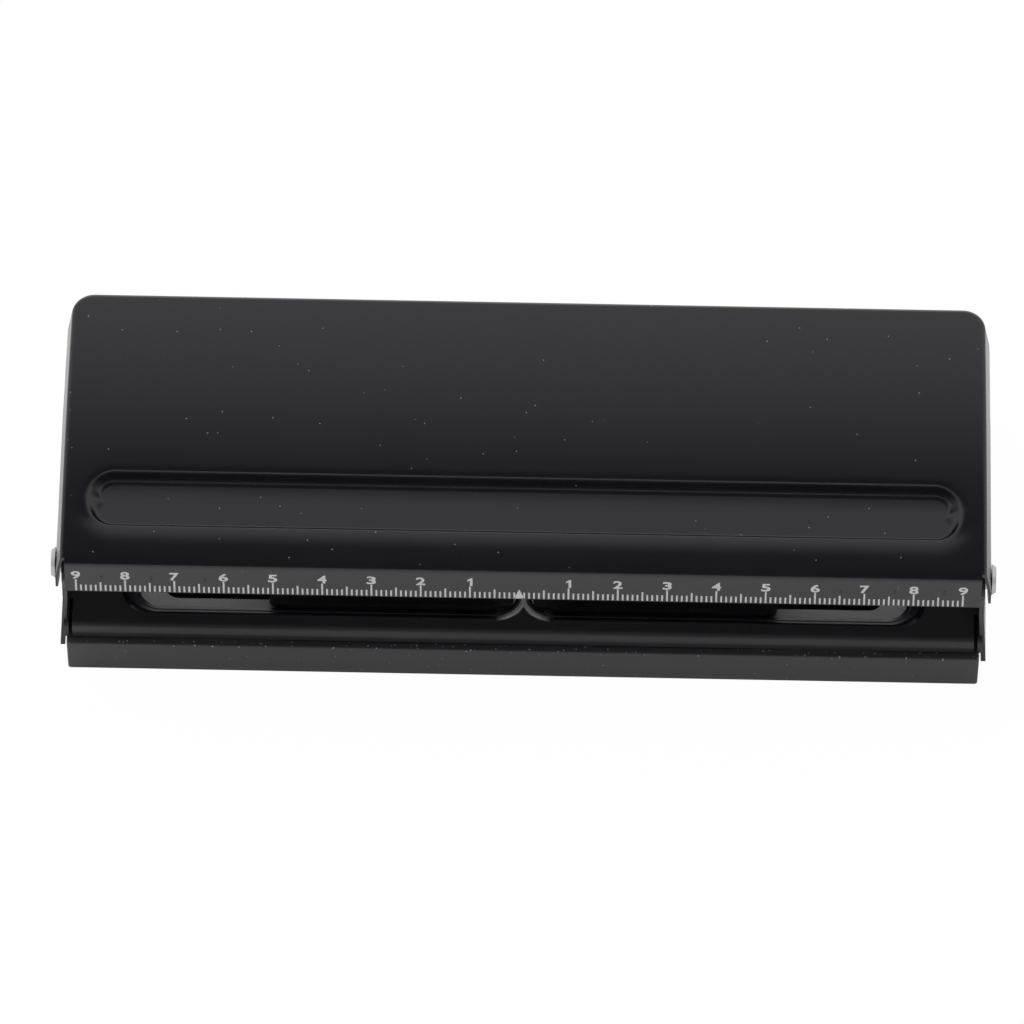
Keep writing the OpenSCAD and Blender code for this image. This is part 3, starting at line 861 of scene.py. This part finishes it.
def figure_mesh(sizes, foot):
    """The figures 1 to 9 on both sides of zero, standing over their ticks on the flange."""
    whole = bmesh.new()
    for number in range(1, sizes.reach + 1):
        mesh = one_mesh() if number == 1 else font_mesh(number)
        flat = np.empty(len(mesh.vertices) * 3)
        mesh.vertices.foreach_get("co", flat)
        flat = flat.reshape(-1, 3)
        low, high = flat.min(axis=0), flat.max(axis=0)
        width = sizes.figure * FIGURE_WIDTH * (ONE_WIDTH if number == 1 else 1.0)
        local_x = ((flat[:, 0] - low[0]) / (high[0] - low[0]) - 0.5) * width
        local_z = (flat[:, 1] - low[1]) / (high[1] - low[1]) * sizes.figure
        depth = LEVER_FRONT - flat[:, 2] * 2 * INK
        for side in (-1, 1):
            placed = np.stack([
                local_x + sizes.zero + side * number * CENTIMETRE, depth,
                local_z + foot + sizes.long_tick + FIGURE_GAP], axis=-1)
            mesh.vertices.foreach_set("co", placed.astype(np.float32).ravel())
            whole.from_mesh(mesh)
        bpy.data.meshes.remove(mesh)
    mesh = bpy.data.meshes.new("scale_figures")
    whole.to_mesh(mesh)
    whole.free()
    return mesh


def mark_mesh(foot, tick):
    """Plain dark paper marks, one above a half-centimetre tick at each common paper edge."""
    places = np.array([side * place for place in MARK_PLACES for side in (-1, 1)])
    start = foot + tick + 2 * TICK_FOOT
    low, high = flange_box(places, MARK_WIDTH / 2, start, np.full(len(places), start + MARK_HEIGHT))
    return mesh_from("scale_marks", *boxes(low, high))


class PUNCH_OT_scale_print(bpy.types.Operator):
    """Print the centimetre scale, its figures, its zero and the paper marks on the front flange"""
    bl_idname = "punch.scale_print"
    bl_label = "Scale print"

    def execute(self, context):
        sizes = context.scene.punch.scale
        lever = context.scene.punch.lever
        foot = REAR_TOP - lever.rise - lever.flange + TICK_FOOT
        prints = {
            "white_print": [tick_mesh(sizes, foot), pointer_mesh(sizes, foot), figure_mesh(sizes, foot)],
            "dark_print": [mark_mesh(foot, sizes.half_tick)],
        }
        for finish, meshes in prints.items():
            for mesh in meshes:
                finish_mesh(mesh, PRINT_ANGLE)
                add_piece(mesh.name, mesh, "lever_arm", finish_named(finish))
        return {"FINISHED"}


# Base


RAIL_END_LAP = 1.0 * MM
RAIL_FRONT_LAP = 2.0 * MM
RAIL_REAR_LAP = 5.0 * MM
WINDOW_INNER = 1.3 * MM
WINDOW_OUTER = RAIL_HIGH.x - RAIL_END_LAP
WINDOW_FRONT = RAIL_LOW.y + RAIL_FRONT_LAP
WINDOW_REAR = RAIL_HIGH.y - RAIL_REAR_LAP
WINDOW_CORNER = 4.5 * MM
LIP_ROOT = 0.9 * MM
LIP_INSIDE = 0.1 * MM
LIP_TUCK = 0.06
LIP_CORNER_POINTS = 15
LIP_PROFILE_POINTS = 14
END_WIDENING = 0.55
CREST = 0.78
CREST_BLEND = 0.16
REAR_NARROWING = 0.4


def window_lip(side, sizes):
    """A soft bead round one window: a slope up from the window's edge, a round crest and a slope down to
    the bed. It is a profile carried round the window, wider at the outer end and narrower behind."""
    corner = WINDOW_CORNER
    left, right, front, rear = WINDOW_INNER, WINDOW_OUTER, WINDOW_FRONT, WINDOW_REAR
    centres = [(right - corner, front + corner), (right - corner, rear - corner),
               (left + corner, rear - corner), (left + corner, front + corner)]
    turns = [np.radians(np.linspace(start, start + 90, LIP_CORNER_POINTS)) for start in (-90, 0, 90, 180)]
    out = np.concatenate([np.stack([np.cos(turn), np.sin(turn)], axis=-1) for turn in turns])
    path = np.repeat(centres, LIP_CORNER_POINTS, axis=0) + corner * out
    share = np.linspace(0, 1, LIP_PROFILE_POINTS)
    across = np.concatenate([[0, 0], share, [1]])
    crest = soft_least(share / CREST, (1 - share) / (1 - CREST), CREST_BLEND)
    up = np.concatenate([[0, -LIP_TUCK], crest, [0]])
    wider = 1 + END_WIDENING * np.clip(out[:, 0], 0, 1) - REAR_NARROWING * np.clip(out[:, 1], 0, 1)
    reach = across[:, None] * sizes.lip_width * wider - LIP_INSIDE
    plan = path + out * reach[..., None]
    height = BED_Z + sizes.lip_height * up[:, None] * wider
    height[[0, -1]] -= LIP_ROOT
    points = np.concatenate([plan, height[..., None]], axis=-1) * (side, 1, 1)
    return mesh_from("window_lip", points, ring_faces(*points.shape[:2], close_rows=True))


class PUNCH_OT_base(bpy.types.Operator):
    """Finish the pressed base, and put a soft bead round each of its windows"""
    bl_idname = "punch.base"
    bl_label = "Base and window lips"

    def execute(self, context):
        sizes = context.scene.punch.base
        soft_copy("base_pan", "base", finish_named("satin_enamel"), sizes.edge)
        for side, sign in zip(SIDES, (-1, 1)):
            mesh = finish_mesh(window_lip(sign, sizes), ROUND_ANGLE)
            # The lips take the enamel with the painted highlight on their crests near the middle
            add_piece(side + "_window_lip", mesh, "base", finish_named("rubbed_enamel"))
        return {"FINISHED"}


# Chip tray


TRAY_CORNER = 0.6 * MM
TRAY_FOOT = 0.2 * MM
TRAY_RIM = 0.35 * MM
TRAY_FILLET = 1.2 * MM
QUARTER_POINTS = 6
FLAT_POINTS = 8
WALL_POINTS = 5


def quarter(radius, start, end):
    """Offsets along a quarter circle, as two arrays, between two angles in degrees."""
    angle = np.radians(np.linspace(start, end, QUARTER_POINTS))
    return radius * np.cos(angle), radius * np.sin(angle)


def tray_profile(sizes):
    """Inset and height of the tray's rings: out along the underside, round the foot, up the drafted wall,
    over the rim, down inside, round a fillet and in along the floor."""
    half = (TRAY_HIGH.y - TRAY_LOW.y) / 2
    top = TRAY_HIGH.z
    wall = sizes.tray_wall
    under = np.linspace(half, sizes.tray_draft + TRAY_FOOT, FLAT_POINTS)
    foot_out, foot_up = quarter(TRAY_FOOT, -90, 0)
    rise = np.linspace(0, 1, WALL_POINTS)[1:]
    rim_out, rim_up = quarter(TRAY_RIM, 0, 90)
    fillet_out, fillet_up = quarter(TRAY_FILLET, 0, -90)
    floor = np.linspace(wall + TRAY_FILLET, half, FLAT_POINTS)[1:]
    inset = np.concatenate([
        under, sizes.tray_draft + TRAY_FOOT - foot_out, sizes.tray_draft * (1 - rise),
        TRAY_RIM - rim_out, (wall - TRAY_RIM + rim_out)[::-1], wall + TRAY_FILLET - fillet_out, floor])
    height = np.concatenate([
        np.zeros_like(under), TRAY_FOOT + foot_up, TRAY_FOOT + (top - TRAY_RIM - TRAY_FOOT) * rise,
        top - TRAY_RIM + rim_up, (top - TRAY_RIM + rim_up)[::-1], wall + TRAY_FILLET + fillet_up,
        np.full_like(floor, wall)])
    return inset[:, None], height[:, None]


class PUNCH_OT_chip_tray(bpy.types.Operator):
    """Make the chip tray with its drafted walls, round foot and thin rim"""
    bl_idname = "punch.chip_tray"
    bl_label = "Chip tray"

    def execute(self, context):
        outline = round_plan(TRAY_HIGH.x, TRAY_LOW.y, TRAY_HIGH.y, TRAY_CORNER)
        points = ring_shell(outline, *tray_profile(context.scene.punch.base))
        mesh = finish_mesh(mesh_from("chip_tray_shell", points, ring_faces(*points.shape[:2])))
        plastic = finish_named("matt_plastic")
        add_piece("chip_tray_shell", mesh, "tray", plastic, ("chip_tray",))
        return {"FINISHED"}


# Springs


SPRING_TURNS = 6
DEAD_TURNS = 0.9
DEAD_PITCH = 2.1
WIRE_RADIUS = 0.25 * MM
WIRE_SIDES = 10
STEPS_TO_TURN = 40


def spring_points(low, high):
    """A compression spring between two corners of its box: a round wire carried along a helix whose end
    turns lie closed. The height follows the turns, with a slower climb in the dead turns at both ends."""
    radius = (high.x - low.x) / 2 - WIRE_RADIUS
    centre = (low + high) / 2
    turn = np.linspace(0, SPRING_TURNS, SPRING_TURNS * STEPS_TO_TURN + 1)
    span = high.z - low.z - 2 * WIRE_RADIUS
    dead = DEAD_PITCH * WIRE_RADIUS
    knots = [0, DEAD_TURNS, SPRING_TURNS - DEAD_TURNS, SPRING_TURNS]
    climb = np.interp(turn, knots, [0, dead * DEAD_TURNS, span - dead * DEAD_TURNS, span])
    angle = 2 * math.pi * turn
    outward = np.stack([np.cos(angle), np.sin(angle), np.zeros_like(angle)], axis=-1)
    path = radius * outward + np.stack(
        [np.full_like(turn, centre.x), np.full_like(turn, centre.y), low.z + WIRE_RADIUS + climb], axis=-1)
    along = np.gradient(path, axis=0)
    along /= np.linalg.norm(along, axis=1, keepdims=True)
    upward = np.cross(along, outward)
    around = np.linspace(0, 2 * math.pi, WIRE_SIDES, endpoint=False)
    ring = outward[:, None] * np.cos(around)[:, None] + upward[:, None] * np.sin(around)[:, None]
    tube = path[:, None] + WIRE_RADIUS * ring
    ends = [np.repeat(path[:1, None], WIRE_SIDES, axis=1), np.repeat(path[-1:, None], WIRE_SIDES, axis=1)]
    return np.concatenate([ends[0], tube, ends[1]])


class PUNCH_OT_springs(bpy.types.Operator):
    """Wind the six punch springs, which shorten as the punches go down"""
    bl_idname = "punch.springs"
    bl_label = "Punch springs"

    def execute(self, context):
        wire = finish_named("spring_wire")
        for side in SIDES:
            for place in PLACES:
                node = side + "_" + place + "_spring"
                low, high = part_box(node)
                points = spring_points(low, high)
                faces = ring_faces(*points.shape[:2])
                mesh = finish_mesh(mesh_from(node + "_coil", points, faces), ROUND_ANGLE)
                coil = add_piece(node + "_coil", mesh, side + "_carrier", wire, (node,))
                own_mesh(coil)
        return {"FINISHED"}


# Carriers and metalwork


# Slot, finish and edge radius of each node of a carrier
CARRIER_WORK = {
    "carrier_frame": ("black_casting", "satin_casting", 0.3 * MM),
    "guide_block": ("black_casting", "satin_casting", 0.35 * MM),
    "die_plate": ("bright_steel", "bright_steel", 0.1 * MM),
    "rod_bushes": ("bronze", "sintered_bronze", 0.12 * MM),
    "block_screws": ("bright_steel", "turned_steel", 0.08 * MM),
    "spring_washers": ("bright_steel", "turned_steel", 0.06 * MM),
}
# Finish and edge radius of each node of the base
BASE_WORK = {
    "die_rail": ("rail_zinc", 0.12 * MM),
    "rail_rivets": ("turned_steel", 0.06 * MM),
    "guide_rod": ("bright_steel", 0.12 * MM),
    "rod_clips": ("spring_wire", 0.06 * MM),
    "left_pivot_pin": ("turned_steel", 0.12 * MM),
    "right_pivot_pin": ("turned_steel", 0.12 * MM),
    "pivot_clips": ("spring_wire", 0.06 * MM),
}
PUNCH_EDGE = 0.06 * MM
LOCK_EDGE = 0.1 * MM
BAR_EDGE = 0.2 * MM
NOSE_EDGE = 0.4 * MM
NOSE_REACH = 2.9 * MM
NOSE_ROOT = 1.0 * MM
NOSE_SETBACK = 0.8 * MM
NOSE_DEPTH = 14.0 * MM
JAW_THICKNESS = 1.6 * MM
NOSE_STEP = 0.15 * MM


def jaw_nose(side):
    """A flat box that leads a carrier's jaw on towards the middle of the punch, a little lower than it."""
    low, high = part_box(side + "_carrier_frame")
    near, away = (low.x, 1) if side == "right" else (high.x, -1)
    x = sorted((near - away * NOSE_REACH, near + away * NOSE_ROOT))
    y = low.y + NOSE_SETBACK
    floor = low.z + NOSE_STEP
    top = low.z + JAW_THICKNESS - NOSE_STEP
    return mesh_from(side + "_jaw_nose", *boxes([(x[0], y, floor)], [(x[1], y + NOSE_DEPTH, top)]))


class PUNCH_OT_carriers(bpy.types.Operator):
    """Finish both sliding carriers with their punches, guides, bushes and lock screws"""
    bl_idname = "punch.carriers"
    bl_label = "Carriers"

    def execute(self, context):
        for side in SIDES:
            for node, (slot, finish, edge) in CARRIER_WORK.items():
                soft_copy(side + "_" + node, side + "_carrier", finish_named(finish), edge)
            nose = add_piece(side + "_jaw_nose", finish_mesh(jaw_nose(side)), side + "_carrier",
                             finish_named("satin_casting"))
            round_edges(nose, NOSE_EDGE)
            steel = finish_named("turned_steel")
            for place in PLACES:
                punch = side + "_" + place + "_punch"
                soft_copy(punch, side + "_punches", steel, PUNCH_EDGE)
            soft_copy(side + "_lock_screw", side + "_lock", steel, LOCK_EDGE)
        return {"FINISHED"}


class PUNCH_OT_metalwork(bpy.types.Operator):
    """Finish the rail, the rod, the pins and clips of the base, and the lever's press bar"""
    bl_idname = "punch.metalwork"
    bl_label = "Rail, rod and pins"

    def execute(self, context):
        for node, (finish, edge) in BASE_WORK.items():
            soft_copy(node, "base", finish_named(finish), edge)
        soft_copy("press_bar", "lever_arm", finish_named("bright_steel"), BAR_EDGE)
        return {"FINISHED"}


# Stage


FLOOR_HALF = 3.0
FLOOR_ROUGHNESS = 0.9
WHITE_SHARE = 0.985
REFLECTED_SHARE = 0.3
SENSOR = 36.0
FAR_CLIP = 100.0
TARGET = Vector((0.0, 0.0, 0.022))
AIM_RIGHT = -2.9 * MM
AIM_UP = -6.384 * MM
DARK_TILT = math.radians(50)
BACK_DIRECTION = (0.0, 0.97, 0.24)
# Nearness to the tent's opening and the brightness there
SKY_STOPS = ((0.0, 1.02), (0.105, 1.0), (0.438, 0.6), (0.588, 0.24), (0.766, 0.12), (1.0, 0.1))
BACK_GLOW = 1.1
BACK_EDGES = (0.87, 0.97)
# Place, size and power of each lamp
LAMPS = {
    "key": (Vector((-0.7, 0.3, 1.1)), 0.8, 8.0),
    "front_fill": (Vector((0.15, -1.1, 0.7)), 1.0, 7.0),
}


def white_share(tree):
    """How white the floor looks: nearly all for camera rays, under a third for glossy and transmission
    rays, and not at all for the light that falls on things."""
    path = tree.nodes.new("ShaderNodeLightPath")
    bounced = maths(tree, "MAXIMUM", path.outputs["Is Glossy Ray"], path.outputs["Is Transmission Ray"])
    reflected = maths(tree, "MULTIPLY", bounced, REFLECTED_SHARE)
    direct = maths(tree, "MULTIPLY", path.outputs["Is Camera Ray"], WHITE_SHARE)
    return maths(tree, "MAXIMUM", direct, reflected)


def floor_finish(colour):
    """A pale floor that takes the object's shadow, and looks white to the camera and in reflections."""
    material, tree, shader, _ = start_material("pale_floor")
    shader.inputs["Base Color"].default_value = opaque(colour)
    shader.inputs["Roughness"].default_value = FLOOR_ROUGHNESS
    glow = add_node(tree, "Emission", Strength=1.0)
    mixed = add_node(tree, "MixShader", Fac=white_share(tree))
    tree.links.new(shader.outputs["BSDF"], mixed.inputs[1])
    tree.links.new(glow.outputs["Emission"], mixed.inputs[2])
    tree.links.new(mixed.outputs["Shader"], tree.nodes["Material Output"].inputs["Surface"])
    return material


def nearness(tree, place, direction):
    """How nearly a place on the sky lies in a direction: the cosine of the angle between them."""
    made = tree.nodes.new("ShaderNodeVectorMath")
    made.operation = "DOT_PRODUCT"
    feed(tree, made.inputs[0], place)
    feed(tree, made.inputs[1], direction)
    return made.outputs["Value"]


def light_world(world):
    """A pale tent all round with a wide dark opening in front, where the camera looks in, and a brighter
    panel low behind the object."""
    world.use_nodes = True
    tree = world.node_tree
    sky = tree.nodes["Background"]
    place = tree.nodes.new("ShaderNodeTexCoord").outputs["Generated"]
    opening = (0.0, -math.sin(DARK_TILT), math.cos(DARK_TILT))
    ramp = add_node(tree, "ValToRGB", Fac=nearness(tree, place, opening))
    ramp.color_ramp.interpolation = "CARDINAL"
    stops = ramp.color_ramp.elements
    while len(stops) < len(SKY_STOPS):
        stops.new(0.5)
    for stop, (position, level) in zip(stops, SKY_STOPS):
        stop.position = position
        stop.color = (level, level, level, 1.0)
    tree.links.new(ramp.outputs["Color"], sky.inputs["Color"])
    near, full = BACK_EDGES
    glow = add_node(tree, "MapRange", Value=nearness(tree, place, BACK_DIRECTION), From_Min=near,
                    From_Max=full, To_Min=1.0, To_Max=1.0 + BACK_GLOW)
    glow.interpolation_type = "SMOOTHSTEP"
    tree.links.new(glow.outputs["Result"], sky.inputs["Strength"])


def camera_axes(stage):
    """The camera's right, up and back directions, from its azimuth, elevation and roll."""
    a, e, r = stage.azimuth, stage.elevation, stage.roll
    back = Vector((math.sin(a) * math.cos(e), -math.cos(a) * math.cos(e), math.sin(e)))
    right = Vector((math.cos(a), math.sin(a), 0.0))
    up = back.cross(right)
    return right * math.cos(r) + up * math.sin(r), up * math.cos(r) - right * math.sin(r), back


class PUNCH_OT_stage(bpy.types.Operator):
    """Lay the floor, light the scene and set up the camera"""
    bl_idname = "punch.stage"
    bl_label = "Stage"

    def execute(self, context):
        scene = context.scene
        stage = scene.punch.stage
        corner = np.array([[-1, -1, 0], [1, -1, 0], [1, 1, 0], [-1, 1, 0]]) * FLOOR_HALF
        mesh = mesh_from("floor", corner, [[0, 1, 2, 3]])
        mesh.materials.append(floor_finish(stage.floor))
        floor = bpy.data.objects.new("floor", mesh)
        scene.collection.objects.link(floor)
        scene.world = bpy.data.worlds.new("tent")
        light_world(scene.world)
        for name, (place, size, power) in LAMPS.items():
            lamp = bpy.data.objects.new(name, bpy.data.lights.new(name, "AREA"))
            lamp.data.size = size
            lamp.data.energy = power
            lamp.location = place
            lamp.rotation_euler = place.to_track_quat("Z", "Y").to_euler()
            lamp.visible_glossy = False
            scene.collection.objects.link(lamp)
        right, up, back = camera_axes(stage)
        camera = bpy.data.objects.new("camera", bpy.data.cameras.new("camera"))
        camera.data.sensor_width = SENSOR
        camera.data.lens = stage.lens
        camera.data.clip_end = FAR_CLIP
        aim = TARGET + right * AIM_RIGHT + up * AIM_UP
        turn = Matrix((right, up, back)).transposed().to_4x4()
        camera.matrix_world = Matrix.Translation(aim + back * stage.distance) @ turn
        scene.collection.objects.link(camera)
        scene.camera = camera
        scene.view_settings.view_transform = "Standard"
        return {"FINISHED"}


# Panel and registration


OPERATORS = (
    PUNCH_OT_stage, PUNCH_OT_lever_cover, PUNCH_OT_scale_print, PUNCH_OT_base, PUNCH_OT_chip_tray,
    PUNCH_OT_carriers, PUNCH_OT_springs, PUNCH_OT_metalwork,
)
GROUPS = (LeverSizes, ScaleSizes, BaseSizes, Finishes, StageSettings, PunchSettings)


class PUNCH_PT_panel(bpy.types.Panel):
    """Sizes, colours and steps of the punch"""
    bl_idname = "PUNCH_PT_panel"
    bl_label = "Desk punch"
    bl_space_type = "VIEW_3D"
    bl_region_type = "UI"
    bl_category = "Punch"

    def draw(self, context):
        settings = context.scene.punch
        for group in PunchSettings.__annotations__:
            box = self.layout.box()
            box.label(text=group.capitalize())
            values = getattr(settings, group)
            for value in type(values).__annotations__:
                box.prop(values, value)
        for operator in OPERATORS:
            self.layout.operator(operator.bl_idname)


CLASSES = GROUPS + OPERATORS + (PUNCH_PT_panel,)


def register():
    """Registers the classes and hangs the settings on the scene."""
    for kind in CLASSES:
        bpy.utils.register_class(kind)
    bpy.types.Scene.punch = bpy.props.PointerProperty(type=PunchSettings)


def unregister():
    """Takes the settings and the classes away again."""
    del bpy.types.Scene.punch
    for kind in reversed(CLASSES):
        bpy.utils.unregister_class(kind)


def main():
    """Makes the stage and every piece in order."""
    register()
    bpy.ops.punch.stage()
    bpy.ops.punch.lever_cover()
    bpy.ops.punch.scale_print()
    bpy.ops.punch.base()
    bpy.ops.punch.chip_tray()
    bpy.ops.punch.carriers()
    bpy.ops.punch.springs()
    bpy.ops.punch.metalwork()


if __name__ == "__main__":
    main()
